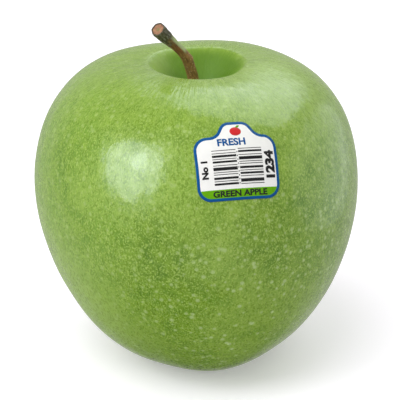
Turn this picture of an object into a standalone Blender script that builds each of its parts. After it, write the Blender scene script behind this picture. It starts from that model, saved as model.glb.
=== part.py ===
"""A picked apple that stands on its own base: the fruit, its stem, a printed film label, and
the dried calyx underneath. Metres, +Z up. The origin lies on the surface the fruit stands on,
under the middle of its box, and the label faces -Y.

The fruit and its calyx are first laid out as turned shapes. grow() then gives them the oval,
the three sides and the five ribs of a real fruit, so what sits in the fruit follows its shape.
"""

import math

import bmesh
import bpy
from mathutils import Matrix, Vector
from mathutils.geometry import interpolate_bezier

# Fruit: the turned outline runs through these stations, from the stem socket to the calyx.
BELLY_RADIUS = 0.0412
BELLY_HEIGHT = 0.0439
CROWN_RADIUS = 0.0126
CROWN_HEIGHT = 0.0760
BASE_RADIUS = 0.0094
STEM_BASIN_DEPTH = 0.0140
STEM_SOCKET_DEPTH = 0.0030
EYE_RADIUS = 0.0036
EYE_DEPTH = 0.0068
CALYX_TUBE_RADIUS = 0.0019
CALYX_TUBE_DEPTH = 0.0042

# How full each stretch of the outline is: the reach of the curve handles at its two ends.
STEM_BASIN_FULLNESS = (0.12, 0.20)
SHOULDER_FULLNESS = (0.78, 0.48)
FLANK_FULLNESS = (0.42, 0.57)
CALYX_BASIN_FULLNESS = (0.42, 0.50)
STRETCH_POINTS = 12
TURNING_STEPS = 60

# How the fruit leaves the round: shares of its radius, the heights of its ribs, and how far
# its core leans along X for each unit of height.
OVAL = 0.0235
OVAL_AZIMUTH = math.radians(97)
THREE_SIDED = 0.0255
THREE_SIDED_AZIMUTH = math.radians(40.5)
RIB_COUNT = 5
RIB_AZIMUTH = math.radians(-77.5)
RIB_SPREAD = 0.0084
CROWN_RIB = 0.0001
BASE_RIB = 0.0004
LEAN = -0.0067
RESTING_PRESS = 0.0003

# Stem: where it bends and ends, measured from the middle of the basin's floor.
STEM_FOOT_RADIUS = 0.00125
STEM_KNEE = (-0.0030, -0.0009, 0.0154)
STEM_KNEE_RADIUS = 0.00115
STEM_TIP = (-0.0095, -0.0080, 0.0249)
STEM_TIP_RADIUS = 0.00165
STEM_NECK_REACH = 0.0048
SEAT_CLEARANCE = 0.0003

# Label: a die-cut film with a tab on its upper edge.
LABEL_WIDTH = 0.0202
LABEL_HEIGHT = 0.0148
LABEL_CORNER = 0.0032
TAB_HEIGHT = 0.0037
TAB_TOP_WIDTH = 0.0060
TAB_FOOT_WIDTH = 0.0104
TAB_CORNER = 0.0014
LABEL_THICKNESS = 0.00015
LABEL_SLICE = 0.0020
LABEL_AZIMUTH = math.radians(-76.5)
LABEL_MIDDLE_HEIGHT = 0.0627
CORNER_STEPS = 4

# Calyx: dried sepals round a tuft of stamens that stands in the calyx tube.
SEPAL_COUNT = 5
SEPAL_LENGTH = 0.0058
SEPAL_SPACING = 0.0003
SEPAL_THICKNESS = 0.0004
SEPAL_ROOT_ANGLE = math.radians(40)
SEPAL_TIP_ANGLE = math.radians(150)
SEPAL_TIP_SHARE = 0.15
STAMEN_COUNT = 10
STAMEN_LENGTH = 0.0032
STAMEN_LEAN = 0.08
STAMEN_TIP_SHARE = 0.25
STAMEN_GAP = 0.00012

SKIN_GREEN = (0.24, 0.43, 0.06, 1)
STEM_BROWN = (0.19, 0.10, 0.04, 1)
LABEL_WHITE = (0.87, 0.87, 0.85, 1)
SEPAL_BROWN = (0.15, 0.10, 0.06, 1)
STAMEN_BROWN = (0.08, 0.05, 0.03, 1)

BASIN_FLOOR = CROWN_HEIGHT - STEM_BASIN_DEPTH
SOCKET_RADIUS = STEM_FOOT_RADIUS + SEAT_CLEARANCE
PLUG_RADIUS = CALYX_TUBE_RADIUS - SEAT_CLEARANCE
SEPAL_WAIST_RADIUS = PLUG_RADIUS + SEPAL_THICKNESS / 2
SEPAL_WAIST_WIDTH = 2 * SEPAL_WAIST_RADIUS * math.sin(math.pi / SEPAL_COUNT) - SEPAL_SPACING


def clear_scene():
    for obj in list(bpy.data.objects):
        bpy.data.objects.remove(obj)


def new_collection(name):
    collection = bpy.data.collections.new(name)
    bpy.context.scene.collection.children.link(collection)
    return collection


def principled(name, colour, roughness):
    material = bpy.data.materials.new(name)
    material.use_nodes = True
    shader = material.node_tree.nodes["Principled BSDF"]
    shader.inputs["Base Color"].default_value = colour
    shader.inputs["Roughness"].default_value = roughness
    shader.inputs["Metallic"].default_value = 0.0
    material.diffuse_color = colour
    return material


def evaluated_mesh(obj):
    """The object's mesh in world space with its modifiers applied, its seams welded."""
    graph = bpy.context.evaluated_depsgraph_get()
    mesh = bpy.data.meshes.new_from_object(obj.evaluated_get(graph))
    mesh.transform(obj.matrix_world)
    form = bmesh.new()
    form.from_mesh(mesh)
    bmesh.ops.remove_doubles(form, verts=form.verts, dist=0.000002)
    form.to_mesh(mesh)
    form.free()
    return mesh


def settle(helper, name, material, collection):
    """Replaces a helper object by a piece that holds its finished mesh."""
    mesh = evaluated_mesh(helper)
    bpy.data.objects.remove(helper)
    mesh.name = name
    mesh.materials.clear()
    mesh.materials.append(material)
    mesh.shade_smooth()
    mesh.set_sharp_from_angle(angle=math.radians(40))
    piece = bpy.data.objects.new(name, mesh)
    collection.objects.link(piece)
    return piece


def smooth_step(share):
    share = min(max(share, 0.0), 1.0)
    return share * share * (3 - 2 * share)


def grow(point):
    """Moves a point of the turned layout to where it lies on the real fruit."""
    radius = math.hypot(point.x, point.y)
    azimuth = math.atan2(point.y, point.x)
    rib = math.cos(RIB_COUNT * (azimuth - RIB_AZIMUTH))
    near_crown = smooth_step((point.z - BELLY_HEIGHT) / (CROWN_HEIGHT - BELLY_HEIGHT))
    near_base = smooth_step(1 - point.z / BELLY_HEIGHT)
    ribbed = RIB_SPREAD * max(near_crown, near_base) * rib
    oval = OVAL * math.cos(2 * (azimuth - OVAL_AZIMUTH))
    three_sided = THREE_SIDED * math.cos(3 * (azimuth - THREE_SIDED_AZIMUTH))
    spread = 1 + oval + three_sided + ribbed
    off_axis_top = min(radius / CROWN_RADIUS, 1.0) ** 2
    off_axis_base = min(radius / BASE_RADIUS, 1.0) ** 2
    crown_rise = CROWN_RIB * near_crown * rib * off_axis_top
    base_arch = BASE_RIB * near_base * (1 - rib) / 2 * off_axis_base
    height = max(point.z + crown_rise + base_arch, 0.0)
    lean = LEAN * (height - BELLY_HEIGHT)
    return Vector((point.x * spread + lean, point.y * spread, height))


def grow_piece(piece):
    for vertex in piece.data.vertices:
        vertex.co = grow(vertex.co)
    return piece


def stretch(start, start_reach, end_reach, end):
    """A smooth run of the outline, from one station towards the next."""
    first = Vector(start)
    last = Vector(end)
    return interpolate_bezier(
        first, first + Vector(start_reach), last + Vector(end_reach), last, STRETCH_POINTS
    )


def fruit_outline():
    """The outline in the XZ plane, from the stem socket over the crown to the calyx tube."""
    socket_edge = (SOCKET_RADIUS, 0, BASIN_FLOOR)
    crown = (CROWN_RADIUS, 0, CROWN_HEIGHT)
    belly = (BELLY_RADIUS, 0, BELLY_HEIGHT)
    base = (BASE_RADIUS, 0, -RESTING_PRESS)
    eye = (EYE_RADIUS, 0, EYE_DEPTH)
    basin_width = CROWN_RADIUS - SOCKET_RADIUS
    shoulder_width = BELLY_RADIUS - CROWN_RADIUS
    shoulder_drop = CROWN_HEIGHT - BELLY_HEIGHT
    flank_width = BELLY_RADIUS - BASE_RADIUS
    calyx_width = BASE_RADIUS - EYE_RADIUS
    points = [
        Vector((0, 0, BASIN_FLOOR - STEM_SOCKET_DEPTH)),
        Vector((SOCKET_RADIUS, 0, BASIN_FLOOR - STEM_SOCKET_DEPTH)),
    ]
    points += stretch(
        socket_edge,
        (0, 0, STEM_BASIN_FULLNESS[0] * STEM_BASIN_DEPTH),
        (-STEM_BASIN_FULLNESS[1] * basin_width, 0, 0),
        crown,
    )
    points += stretch(
        crown,
        (SHOULDER_FULLNESS[0] * shoulder_width, 0, 0),
        (0, 0, SHOULDER_FULLNESS[1] * shoulder_drop),
        belly,
    )[1:]
    points += stretch(
        belly,
        (0, 0, -FLANK_FULLNESS[0] * BELLY_HEIGHT),
        (FLANK_FULLNESS[1] * flank_width, 0, 0),
        base,
    )[1:]
    points += stretch(
        base,
        (-CALYX_BASIN_FULLNESS[0] * calyx_width, 0, 0),
        (0, 0, -CALYX_BASIN_FULLNESS[1] * EYE_DEPTH),
        eye,
    )[1:]
    points += [
        Vector((CALYX_TUBE_RADIUS, 0, EYE_DEPTH)),
        Vector((CALYX_TUBE_RADIUS, 0, EYE_DEPTH + CALYX_TUBE_DEPTH)),
        Vector((0, 0, EYE_DEPTH + CALYX_TUBE_DEPTH)),
    ]
    return points


def build_fruit(collection):
    points = fruit_outline()
    outline = bpy.data.meshes.new("fruit_outline")
    outline.from_pydata(points, [(i, i + 1) for i in range(len(points) - 1)], [])
    helper = bpy.data.objects.new("fruit_outline", outline)
    collection.objects.link(helper)
    screw = helper.modifiers.new("turn", "SCREW")
    screw.axis = "Z"
    screw.steps = TURNING_STEPS
    screw.render_steps = TURNING_STEPS
    screw.use_merge_vertices = True
    screw.merge_threshold = 0.00001
    fruit = settle(helper, "fruit", principled("skin", SKIN_GREEN, 0.35), collection)
    return grow_piece(fruit)


def build_stem(collection):
    """A woody stalk: upright in its socket, then bent to the knee, flared at its cut end."""
    floor = grow(Vector((0, 0, BASIN_FLOOR)))
    foot = floor - Vector((0, 0, STEM_SOCKET_DEPTH - SEAT_CLEARANCE))
    knee = floor + Vector(STEM_KNEE)
    tip = floor + Vector(STEM_TIP)
    neck = tip + (knee - tip).normalized() * STEM_NECK_REACH
    stations = (
        (foot, STEM_FOOT_RADIUS),
        (floor, STEM_FOOT_RADIUS),
        (knee, STEM_KNEE_RADIUS),
        (neck, (STEM_KNEE_RADIUS + STEM_TIP_RADIUS) / 2),
        (tip, STEM_TIP_RADIUS),
    )
    curve = bpy.data.curves.new("stem_line", "CURVE")
    curve.dimensions = "3D"
    curve.resolution_u = 5
    curve.bevel_depth = 1.0
    curve.bevel_resolution = 3
    curve.use_fill_caps = True
    spline = curve.splines.new("BEZIER")
    spline.bezier_points.add(len(stations) - 1)
    for point, (place, radius) in zip(spline.bezier_points, stations):
        point.co = place
        point.radius = radius
        point.handle_left_type = "AUTO"
        point.handle_right_type = "AUTO"
    upright = spline.bezier_points[1]
    upright.handle_left_type = "ALIGNED"
    upright.handle_right_type = "ALIGNED"
    upright.handle_left = floor - Vector((0, 0, STEM_SOCKET_DEPTH / 3))
    upright.handle_right = floor + Vector((0, 0, STEM_KNEE[2] / 3))
    helper = bpy.data.objects.new("stem_line", curve)
    collection.objects.link(helper)
    return settle(helper, "stem", principled("bark", STEM_BROWN, 0.7), collection)


def rounded(corners):
    """The points of a closed outline whose corners (point, radius) are turned into arcs."""
    points = []
    for i, (corner, radius) in enumerate(corners):
        before = (corners[i - 1][0] - corner).normalized()
        after = (corners[(i + 1) % len(corners)][0] - corner).normalized()
        opening = before.angle(after) / 2
        middle = corner + (before + after).normalized() * radius / math.sin(opening)
        start = corner + before * radius / math.tan(opening) - middle
        sweep = start.angle_signed(corner + after * radius / math.tan(opening) - middle)
        for step in range(CORNER_STEPS + 1):
            turn = Matrix.Rotation(-sweep * step / CORNER_STEPS, 2)
            points.append(middle + turn @ start)
    return points


def label_corners():
    """The die line's corners, anticlockwise, with the middle of the label's body at (0, 0)."""
    side = LABEL_WIDTH / 2
    top = LABEL_HEIGHT / 2
    tab_foot = TAB_FOOT_WIDTH / 2
    tab_top = TAB_TOP_WIDTH / 2
    return (
        (Vector((-side, -top)), LABEL_CORNER),
        (Vector((side, -top)), LABEL_CORNER),
        (Vector((side, top)), LABEL_CORNER),
        (Vector((tab_foot, top)), TAB_CORNER),
        (Vector((tab_top, top + TAB_HEIGHT)), TAB_CORNER),
        (Vector((-tab_top, top + TAB_HEIGHT)), TAB_CORNER),
        (Vector((-tab_foot, top)), TAB_CORNER),
        (Vector((-side, top)), LABEL_CORNER),
    )


def skin_frame(fruit):
    """Where the label's middle touches the skin, with its Z axis along the skin's normal."""
    outward = Vector((math.cos(LABEL_AZIMUTH), math.sin(LABEL_AZIMUTH), 0))
    start = outward * 2 * BELLY_RADIUS + Vector((0, 0, LABEL_MIDDLE_HEIGHT))
    found, place, normal, _ = fruit.ray_cast(start, -outward)
    if not found:
        raise ValueError("the label's height misses the fruit")
    across = Vector((0, 0, 1)).cross(normal).normalized()
    upward = normal.cross(across)
    axes = Matrix((across, upward, normal)).transposed().to_4x4()
    return Matrix.Translation(place) @ axes


def build_label(fruit, collection):
    """A flat film cut to its die line, wrapped on the skin at the seat clearance."""
    curve = bpy.data.curves.new("die_line", "CURVE")
    curve.dimensions = "2D"
    curve.fill_mode = "BOTH"
    spline = curve.splines.new("POLY")
    points = rounded(label_corners())
    spline.points.add(len(points) - 1)
    for point, place in zip(spline.points, points):
        point.co = (place.x, place.y, 0, 1)
    spline.use_cyclic_u = True
    flat = bpy.data.objects.new("die_line", curve)
    collection.objects.link(flat)
    film = evaluated_mesh(flat)
    bpy.data.objects.remove(flat)
    form = bmesh.new()
    form.from_mesh(film)
    bmesh.ops.dissolve_limit(form, angle_limit=0.01, verts=form.verts, edges=form.edges)
    for normal in (Vector((1, 0, 0)), Vector((0, 1, 0))):
        reach = math.ceil(LABEL_WIDTH / LABEL_SLICE)
        for cut in range(-reach, reach + 1):
            bmesh.ops.bisect_plane(
                form,
                geom=form.verts[:] + form.edges[:] + form.faces[:],
                plane_co=normal * cut * LABEL_SLICE,
                plane_no=normal,
            )
    bmesh.ops.recalc_face_normals(form, faces=form.faces)
    if sum(face.normal.z for face in form.faces) < 0:
        bmesh.ops.reverse_faces(form, faces=form.faces)
    form.to_mesh(film)
    form.free()
    helper = bpy.data.objects.new("film", film)
    collection.objects.link(helper)
    frame = skin_frame(fruit)
    helper.matrix_world = frame @ Matrix.Translation((0, 0, LABEL_WIDTH / 2))
    lay = helper.modifiers.new("lay_down", "SHRINKWRAP")
    lay.target = fruit
    lay.wrap_method = "PROJECT"
    lay.use_project_z = True
    lay.use_negative_direction = True
    lay.use_positive_direction = False
    lift = helper.modifiers.new("lift_clear", "SHRINKWRAP")
    lift.target = fruit
    lift.wrap_method = "NEAREST_SURFACEPOINT"
    lift.wrap_mode = "ABOVE_SURFACE"
    lift.offset = SEAT_CLEARANCE
    solidify = helper.modifiers.new("film_thickness", "SOLIDIFY")
    solidify.thickness = LABEL_THICKNESS
    solidify.offset = 1.0
    bpy.context.view_layer.update()
    return settle(helper, "label", principled("film", LABEL_WHITE, 0.4), collection)


def sepal_taper(along):
    return SEPAL_TIP_SHARE + (1 - SEPAL_TIP_SHARE) * math.sqrt(1 - along)


def sepal_place(along, across):
    """A point on a sepal's middle surface, at its share of the length and of the width.

    The leaflet leans in from the eye's rim to its waist, where it clears the stamens and its
    neighbours, and curls out again to its tip.
    """
    turn = SEPAL_TIP_ANGLE - SEPAL_ROOT_ANGLE
    angle = SEPAL_ROOT_ANGLE + along * turn
    root_radius = EYE_RADIUS - SEAT_CLEARANCE - SEPAL_THICKNESS
    root_height = EYE_DEPTH - SEAT_CLEARANCE - SEPAL_THICKNESS
    root_sine = math.sin(SEPAL_ROOT_ANGLE)
    lean_in = (math.sin(angle) - root_sine) / (1 - root_sine)
    radius = root_radius - (root_radius - SEPAL_WAIST_RADIUS) * lean_in
    fall = SEPAL_LENGTH * (math.cos(SEPAL_ROOT_ANGLE) - math.cos(angle)) / turn
    waist = (math.pi / 2 - SEPAL_ROOT_ANGLE) / turn
    width = SEPAL_WAIST_WIDTH * sepal_taper(along) / sepal_taper(waist)
    return Vector((radius, across * width, root_height - fall))


def build_sepal(number, material, collection):
    form = bmesh.new()
    bmesh.ops.create_grid(form, x_segments=6, y_segments=2, size=0.5)
    for vertex in form.verts:
        vertex.co = sepal_place(vertex.co.x + 0.5, vertex.co.y)
    mesh = bpy.data.meshes.new("leaflet")
    form.to_mesh(mesh)
    form.free()
    helper = bpy.data.objects.new("leaflet", mesh)
    collection.objects.link(helper)
    azimuth = RIB_AZIMUTH + math.tau * (number + 0.5) / SEPAL_COUNT
    helper.matrix_world = Matrix.Rotation(azimuth, 4, "Z")
    solidify = helper.modifiers.new("leaf_thickness", "SOLIDIFY")
    solidify.thickness = SEPAL_THICKNESS
    solidify.offset = 0.0
    bpy.context.view_layer.update()
    return grow_piece(settle(helper, f"sepal_{number + 1}", material, collection))


def build_stamens(collection):
    """A plug that fills the mouth of the calyx tube, its lower faces pulled out into threads."""
    form = bmesh.new()
    bmesh.ops.create_uvsphere(
        form, u_segments=STAMEN_COUNT, v_segments=4, radius=PLUG_RADIUS
    )
    lower = [face for face in form.faces if face.calc_center_median().z < 0]
    threads = [face for face in lower if len(face.verts) == 4]
    bmesh.ops.inset_individual(form, faces=threads, thickness=STAMEN_GAP)
    pulled = bmesh.ops.extrude_discrete_faces(form, faces=threads)["faces"]
    for face in pulled:
        middle = face.calc_center_median()
        outward = Vector((middle.x, middle.y, 0)).normalized()
        pull = (outward * STAMEN_LEAN - Vector((0, 0, 1))) * STAMEN_LENGTH
        for vertex in face.verts:
            vertex.co = middle + (vertex.co - middle) * STAMEN_TIP_SHARE + pull
    mesh = bpy.data.meshes.new("tuft")
    form.to_mesh(mesh)
    form.free()
    helper = bpy.data.objects.new("tuft", mesh)
    collection.objects.link(helper)
    helper.location = (0, 0, EYE_DEPTH + PLUG_RADIUS)
    bpy.context.view_layer.update()
    material = principled("dry_threads", STAMEN_BROWN, 0.9)
    return grow_piece(settle(helper, "stamens", material, collection))


def centre_over_origin(pieces, fruit):
    """Moves every piece so that the middle of the fruit's box stands over the origin."""
    corners = [Vector(corner) for corner in fruit.bound_box]
    middle_x = sum(corner.x for corner in corners) / len(corners)
    middle_y = sum(corner.y for corner in corners) / len(corners)
    for piece in pieces:
        piece.data.transform(Matrix.Translation((-middle_x, -middle_y, 0)))


def main():
    clear_scene()
    apple = new_collection("apple")
    fruit = build_fruit(apple)
    bpy.context.view_layer.update()
    label = build_label(fruit, apple)
    stem = build_stem(apple)
    dry_leaf = principled("dry_leaf", SEPAL_BROWN, 0.85)
    sepals = [build_sepal(number, dry_leaf, apple) for number in range(SEPAL_COUNT)]
    stamens = build_stamens(apple)
    centre_over_origin([fruit, label, stem, stamens, *sepals], fruit)


main()
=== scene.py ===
# %% [markdown]
# # A green apple, looked at closely
#
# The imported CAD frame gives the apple's true size and place. Around it this lesson builds the
# apple again with a finer mesh: the fruit, its stem, the film label on its shoulder, and the
# dried calyx underneath. Each piece takes the place of one CAD solid.

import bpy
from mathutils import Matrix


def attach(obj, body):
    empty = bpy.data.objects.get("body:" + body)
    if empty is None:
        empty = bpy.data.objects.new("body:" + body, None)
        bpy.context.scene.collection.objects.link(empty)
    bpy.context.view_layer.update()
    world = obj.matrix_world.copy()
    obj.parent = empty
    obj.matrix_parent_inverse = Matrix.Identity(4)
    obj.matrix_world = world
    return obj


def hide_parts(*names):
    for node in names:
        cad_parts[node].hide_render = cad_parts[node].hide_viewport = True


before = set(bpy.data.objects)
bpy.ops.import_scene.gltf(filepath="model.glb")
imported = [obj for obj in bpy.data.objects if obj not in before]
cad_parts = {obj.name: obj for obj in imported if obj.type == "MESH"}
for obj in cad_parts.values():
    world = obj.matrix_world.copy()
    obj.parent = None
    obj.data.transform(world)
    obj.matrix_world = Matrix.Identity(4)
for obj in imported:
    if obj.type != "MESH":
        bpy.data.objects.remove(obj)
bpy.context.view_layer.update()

# %% Tools and units
import math

import bmesh
import bpy
from mathutils import Matrix, Vector, noise
from mathutils.bvhtree import BVHTree
from mathutils.geometry import interpolate_bezier

MM = 0.001


def turn(degrees):
    return math.radians(degrees)


def smooth_step(share):
    share = min(max(share, 0.0), 1.0)
    return share * share * (3 - 2 * share)


def around(azimuth, radius=1.0, height=0.0):
    """A point round the upright axis."""
    return Vector((radius * math.cos(azimuth), radius * math.sin(azimuth), height))


def set_at(spot, side, up, forward):
    """The matrix that sets a thing at a spot, with its X, Y and Z along three directions."""
    return Matrix.Translation(spot) @ Matrix((side, up, forward)).transposed().to_4x4()


def add_object(name, data):
    thing = bpy.data.objects.new(name, data)
    bpy.context.scene.collection.objects.link(thing)
    return thing


def mesh_from(form, name):
    """Turns a bmesh into a mesh, and frees it."""
    mesh = bpy.data.meshes.new(name)
    form.to_mesh(mesh)
    form.free()
    return mesh


# %% [markdown]
# ## The camera
#
# A product shot of a fruit is taken with a long lens from a little above, so that the basin
# round the stem shows and the shape isn't stretched. The camera looks along +Y, tilted down.
# A tilt about X is the only turn it needs.

# %% Camera
CAMERA_TILT = turn(22)
CAMERA_DISTANCE = 508.7 * MM
LENS_LENGTH = 183.0
AIM = Vector((0.98, 1.27, 39.75)) * MM

camera_data = bpy.data.cameras.new("long_lens")
camera_data.lens = LENS_LENGTH
camera_data.sensor_width = 36.0
camera = add_object("camera", camera_data)
line_of_sight = Vector((0, math.cos(CAMERA_TILT), -math.sin(CAMERA_TILT)))
camera.location = AIM - CAMERA_DISTANCE * line_of_sight
camera.rotation_euler = (math.pi / 2 - CAMERA_TILT, 0, 0)
bpy.context.scene.camera = camera
print("Camera stands at", [round(c, 3) for c in camera.location])

# %% [markdown]
# ## Nodes
#
# The room, the floor and every material are made from nodes. These helpers add a node, set or
# link its sockets and hand back its output, so that what follows reads like a recipe.

# %% Node helpers
def place(tree, kind, sockets=None, **settings):
    """Adds a node. A socket takes a plain value, or another node's output as a link."""
    node = tree.nodes.new(kind)
    for name, value in settings.items():
        setattr(node, name, value)
    for name, value in (sockets or {}).items():
        if isinstance(value, bpy.types.NodeSocket):
            tree.links.new(value, node.inputs[name])
        else:
            node.inputs[name].default_value = value
    return node


def between(tree, value, low, high, start=0.0, end=1.0):
    """A straight blend: low at start, high at end."""
    sockets = {"Value": value, "From Min": start, "From Max": end, "To Min": low, "To Max": high}
    return place(tree, "ShaderNodeMapRange", sockets).outputs["Result"]


def new_material(name):
    material = bpy.data.materials.new(name)
    material.use_nodes = True
    tree = material.node_tree
    return material, tree, tree.nodes["Principled BSDF"]


# %% [markdown]
# ## Floor and light
#
# A white floor under a fruit throws light back up into its lower half, which keeps the shading
# gentle. Most of the light is a bright surrounding white. Studios set the gleam in the wax apart
# from the fill, with flags and more lamps, and so does this scene: the surroundings are dimmer
# for glossy rays, and dark far below, so that the lower half keeps its deep green. For camera
# rays the backdrop is brighter and the floor is lifted a little, so that both come out white.

# %% The white room
SURROUNDING_WHITE = (0.99, 1.0, 0.94, 1)
FILL_STRENGTH = 0.62
FLAGGED_STRENGTH = 0.44
BELOW_STRENGTH = 0.06
BACKDROP_STRENGTH = 1.1
DARKENING_HEIGHTS = (-0.84, -0.56)

bpy.context.scene.view_settings.view_transform = "Standard"
world = bpy.data.worlds.new("white_room")
world.use_nodes = True
room = world.node_tree
ray = place(room, "ShaderNodeLightPath").outputs
direction = place(room, "ShaderNodeTexCoord").outputs["Generated"]
rise = place(room, "ShaderNodeSeparateXYZ", {"Vector": direction}).outputs["Z"]
for_gloss = between(room, rise, BELOW_STRENGTH, FLAGGED_STRENGTH, *DARKENING_HEIGHTS)
room_strength = between(room, ray["Is Glossy Ray"], FILL_STRENGTH, for_gloss)
room_strength = between(room, ray["Is Camera Ray"], room_strength, BACKDROP_STRENGTH)
background = room.nodes["Background"]
background.inputs["Color"].default_value = SURROUNDING_WHITE
room.links.new(room_strength, background.inputs["Strength"])
bpy.context.scene.world = world
print("Room fills with strength", FILL_STRENGTH)

# %% Floor
FLOOR_SIZE = 1.3
FLOOR_WHITE = (0.90, 0.865, 0.96, 1)
FLOOR_LIFT = 0.31

floor_paint, paint_tree, floor_shader = new_material("floor_paint")
camera_ray = place(paint_tree, "ShaderNodeLightPath").outputs["Is Camera Ray"]
floor_lift = between(paint_tree, camera_ray, 0.0, FLOOR_LIFT)
paint_tree.links.new(floor_lift, floor_shader.inputs["Emission Strength"])
floor_shader.inputs["Emission Color"].default_value = (1, 1, 1, 1)
floor_shader.inputs["Base Color"].default_value = FLOOR_WHITE
floor_shader.inputs["Roughness"].default_value = 0.9
floor_shader.inputs["Specular IOR Level"].default_value = 0.1

floor_form = bmesh.new()
bmesh.ops.create_grid(floor_form, x_segments=1, y_segments=1, size=FLOOR_SIZE / 2)
floor_mesh = mesh_from(floor_form, "floor")
floor_mesh.materials.append(floor_paint)
floor = add_object("floor", floor_mesh)
floor.visible_glossy = False
print("Floor is", FLOOR_SIZE, "m across")

# %% [markdown]
# ## Lamps
#
# Three fill lamps light the colour: one from the left, one from high above, and a weak one from
# behind. Four gleam lamps show only in the gloss: a round patch at the left with a brighter
# core, a wide sheen on the far shoulder, and a faint one down the right side. Each lamp is placed
# by the direction it shines from and by how wide it looks from the apple.

# %% Lamps
LAMP_DISTANCE = 1.0
FILL_COLOUR = (1.0, 1.0, 1.0)
GLEAM_COLOUR = (0.81, 0.87, 1.0)
LAMPS = (
    # name, azimuth, elevation, breadth and height in degrees, brightness, only in the gloss
    ("left_softbox", -66, 34, 36, 36, 3.2, False),
    ("top_softbox", -36, 66, 42, 42, 3.0, False),
    ("back_softbox", 125, 54, 46, 44, 0.9, False),
    ("left_gleam", -60, 24, 37, 49, 5.0, True),
    ("left_gleam_core", -60, 31, 13, 15, 5.0, True),
    ("back_gleam", 152, 53, 54, 54, 2.0, True),
    ("right_gleam", 110, 2, 70, 50, 0.6, True),
)


def set_lamp(name, azimuth, elevation, breadth, height, brightness, gleam):
    """A soft area lamp that faces the apple; azimuth 0 is on the camera's side, 90 on +X."""
    data = bpy.data.lights.new(name, "AREA")
    data.shape = "ELLIPSE"
    data.size = 2 * LAMP_DISTANCE * math.tan(turn(breadth / 2))
    data.size_y = 2 * LAMP_DISTANCE * math.tan(turn(height / 2))
    area = math.pi * data.size * data.size_y / 4
    data.energy = brightness * math.pi * area
    data.color = GLEAM_COLOUR if gleam else FILL_COLOUR
    lamp = add_object(name, data)
    level = math.cos(turn(elevation))
    away = Vector((
        math.sin(turn(azimuth)) * level,
        -math.cos(turn(azimuth)) * level,
        math.sin(turn(elevation)),
    ))
    lamp.location = AIM + away * LAMP_DISTANCE
    lamp.rotation_euler = away.to_track_quat("Z", "Y").to_euler()
    lamp.visible_camera = False
    lamp.visible_diffuse = not gleam
    lamp.visible_glossy = gleam


for lamp_row in LAMPS:
    set_lamp(*lamp_row)
print("Lamps:", [row[0] for row in LAMPS])

# %% [markdown]
# ## How the fruit grows
#
# An apple is nearly a turned shape, but not quite. It is a little oval, a little three-sided, it
# has five faint ribs for its five seed chambers, and its core leans. The outline is turned first,
# and grow() then moves every point. What sits in the fruit goes through the same grow(), so it
# stays in its place.

# %% Proportions of the fruit
BELLY_RADIUS = 41.2 * MM
BELLY_HEIGHT = 43.9 * MM
CROWN_RADIUS = 12.6 * MM
CROWN_HEIGHT = 76.0 * MM
BASE_RADIUS = 9.4 * MM
STEM_BASIN_DEPTH = 14.0 * MM
STEM_SOCKET_DEPTH = 3.0 * MM
SOCKET_RADIUS = 1.55 * MM
EYE_RADIUS = 3.6 * MM
EYE_DEPTH = 6.8 * MM
CALYX_TUBE_RADIUS = 1.9 * MM
CALYX_TUBE_DEPTH = 4.2 * MM
RESTING_PRESS = 0.3 * MM
BASIN_FLOOR = CROWN_HEIGHT - STEM_BASIN_DEPTH

OVAL = 0.0235
OVAL_AZIMUTH = turn(97)
THREE_SIDED = 0.0255
THREE_SIDED_AZIMUTH = turn(40.5)
RIB_COUNT = 5
RIB_AZIMUTH = turn(-77.5)
RIB_SPREAD = 0.0084
CROWN_RIB = 0.1 * MM
BASE_RIB = 0.4 * MM
LEAN = -0.0067


def grow(point):
    """Moves a point of the turned layout to where it lies on the real fruit."""
    radius = math.hypot(point.x, point.y)
    azimuth = math.atan2(point.y, point.x)
    rib = math.cos(RIB_COUNT * (azimuth - RIB_AZIMUTH))
    near_crown = smooth_step((point.z - BELLY_HEIGHT) / (CROWN_HEIGHT - BELLY_HEIGHT))
    near_base = smooth_step(1 - point.z / BELLY_HEIGHT)
    ribbed = RIB_SPREAD * max(near_crown, near_base) * rib
    oval = OVAL * math.cos(2 * (azimuth - OVAL_AZIMUTH))
    three_sided = THREE_SIDED * math.cos(3 * (azimuth - THREE_SIDED_AZIMUTH))
    spread = 1 + oval + three_sided + ribbed
    off_axis_top = min(radius / CROWN_RADIUS, 1.0) ** 2
    off_axis_base = min(radius / BASE_RADIUS, 1.0) ** 2
    crown_rise = CROWN_RIB * near_crown * rib * off_axis_top
    base_arch = BASE_RIB * near_base * (1 - rib) / 2 * off_axis_base
    height = max(point.z + crown_rise + base_arch, 0.0)
    lean = LEAN * (height - BELLY_HEIGHT)
    return Vector((point.x * spread + lean, point.y * spread, height))


print("Fruit is planned", 2 * BELLY_RADIUS / MM, "mm wide and", CROWN_HEIGHT / MM, "mm high")

# %% [markdown]
# ## Effects that materials share
#
# Real surfaces vary at several scales at once. Three effects come back on the skin, the bark and
# the dry leaf: soft mottling, small round flecks, and streaks that follow the growth. Each is one
# shader node group with named inputs and outputs, and each material places it with its own
# values. The shader itself stays in the material.

# %% Helpers for colours and effects
def maths(tree, operation, first, second=0.0):
    node = place(tree, "ShaderNodeMath", {0: first, 1: second}, operation=operation)
    return node.outputs[0]


def times(tree, first, second):
    return maths(tree, "MULTIPLY", first, second)


def fade(tree, value, start, end, low=0.0, high=1.0):
    """A smooth step: low before start, high after end."""
    sockets = {"Value": value, "From Min": start, "From Max": end, "To Min": low, "To Max": high}
    node = place(tree, "ShaderNodeMapRange", sockets, interpolation_type="SMOOTHSTEP")
    return node.outputs["Result"]


def tint(tree, share, under, over):
    """The colour under, covered by the colour over by a share of 0 to 1."""
    node = place(tree, "ShaderNodeMix", {0: share, 6: under, 7: over}, data_type="RGBA")
    return node.outputs[2]


def attribute(tree, name):
    node = place(tree, "ShaderNodeAttribute", attribute_type="GEOMETRY", attribute_name=name)
    return node.outputs["Vector"]


def object_place(tree):
    return place(tree, "ShaderNodeTexCoord").outputs["Object"]


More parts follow.
